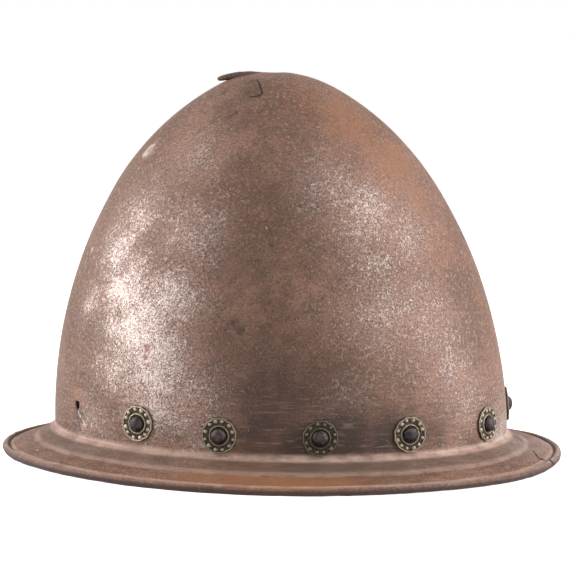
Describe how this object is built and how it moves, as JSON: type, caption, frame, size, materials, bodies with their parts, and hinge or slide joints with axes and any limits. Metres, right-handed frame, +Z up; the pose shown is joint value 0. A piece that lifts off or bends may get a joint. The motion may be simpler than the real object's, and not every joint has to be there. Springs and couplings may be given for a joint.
{
  "type": "cabasset helmet",
  "caption": "Open almond-shaped iron helmet with a narrow sloping brim, a stalk on the crown and a row of riveted brass rosettes.",
  "frame": {"origin": "under the middle of the brim, on the plane that the hem of the brim stands on", "axes": "+X towards the front, +Z up through the crown, +Y towards the wearer's left"},
  "size_m": [0.2999, 0.24, 0.205],
  "materials": {
    "patinated_iron": "hammered, rusted and worn",
    "aged_brass": "dark and worn",
    "rivet_iron": "worn",
    "washer_iron": "rusted",
    "leather": "dry and dark"
  },
  "bodies": {
    "root": {"bowl": "patinated_iron", "lining_band": "leather", "rivets": "rivet_iron", "rosette_00": "aged_brass", "rosette_01": "aged_brass", "rosette_02": "aged_brass", "rosette_03": "aged_brass", "rosette_04": "aged_brass", "rosette_05": "aged_brass", "rosette_06": "aged_brass", "rosette_07": "aged_brass", "rosette_09": "aged_brass", "rosette_10": "aged_brass", "rosette_11": "aged_brass", "rosette_12": "aged_brass", "rosette_13": "aged_brass", "washer_00": "washer_iron", "washer_01": "washer_iron", "washer_02": "washer_iron", "washer_03": "washer_iron", "washer_04": "washer_iron", "washer_05": "washer_iron", "washer_06": "washer_iron", "washer_07": "washer_iron", "washer_09": "washer_iron", "washer_10": "washer_iron", "washer_11": "washer_iron", "washer_12": "washer_iron", "washer_13": "washer_iron"}
  },
  "joints": []
}
